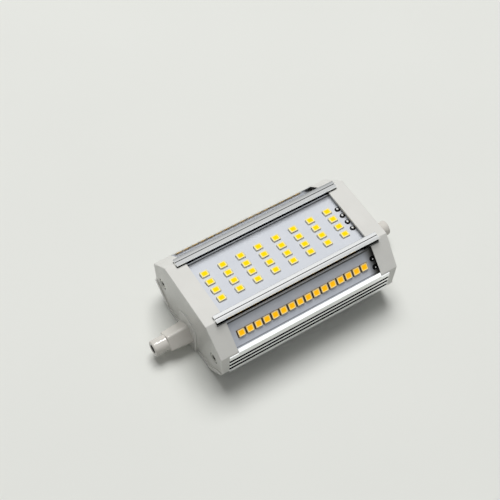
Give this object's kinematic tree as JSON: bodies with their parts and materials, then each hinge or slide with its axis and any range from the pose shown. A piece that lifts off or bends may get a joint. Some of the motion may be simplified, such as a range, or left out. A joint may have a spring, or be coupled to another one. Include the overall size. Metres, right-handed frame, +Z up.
{
  "type": "linear led bulb",
  "caption": "Double-ended linear LED lamp: finned eight-sided aluminium heat sink, LED boards on top and on both slopes, moulded end caps with recessed-contact noses.",
  "frame": {"origin": "middle of the lamp, on the surface that its back rests on", "axes": "+X along the lamp from the left contact nose to the right one, +Y across it to the rear, +Z up from the back to the top LED board"},
  "size_m": [0.118, 0.054, 0.0353],
  "materials": {
    "anodised_aluminium": "satin extrusion",
    "board_white": "white solder mask on a metal core",
    "led_white": "moulded package",
    "phosphor_yellow": "silicone with phosphor",
    "cap_grey": "moulded, fine grain",
    "screw_steel": "plated",
    "contact_metal": "plated",
    "solder": "bright solder",
    "lead_white": "insulated lead",
    "lead_red": "insulated lead",
    "driver_green": "solder mask",
    "component_blue": "dipped coat",
    "component_red": "dipped coat",
    "component_black": "moulded package",
    "can_sleeve": "shrunk sleeve",
    "ferrite": "sintered",
    "winding_tape": "taped winding"
  },
  "bodies": {
    "root": {"heatsink_body": "anodised_aluminium", "top_led_board": "board_white", "front_led_board": "board_white", "rear_led_board": "board_white", "top_led_housings": "led_white", "front_led_housings": "led_white", "rear_led_housings": "led_white", "top_led_phosphors": "phosphor_yellow", "front_led_phosphors": "phosphor_yellow", "rear_led_phosphors": "phosphor_yellow", "left_end_cap": "cap_grey", "right_end_cap": "cap_grey", "left_contact_base": "cap_grey", "right_contact_base": "cap_grey", "left_cap_screws": "screw_steel", "right_cap_screws": "screw_steel", "left_contact": "contact_metal", "right_contact": "contact_metal", "top_solder_joints": "solder", "front_solder_joints": "solder", "rear_solder_joints": "solder", "left_input_lead": "lead_white", "right_input_lead": "lead_white", "top_output_leads": "lead_red", "front_output_leads": "lead_red", "rear_output_leads": "lead_red", "driver_board": "driver_green", "fuse_resistor": "component_blue", "varistor": "component_blue", "bridge_rectifier": "component_black", "film_capacitor": "component_red", "choke": "component_black", "bulk_capacitor": "can_sleeve", "transformer_core": "ferrite", "transformer_winding": "winding_tape", "driver_chip": "component_black", "output_diode": "component_black", "output_capacitor": "can_sleeve"}
  },
  "joints": []
}
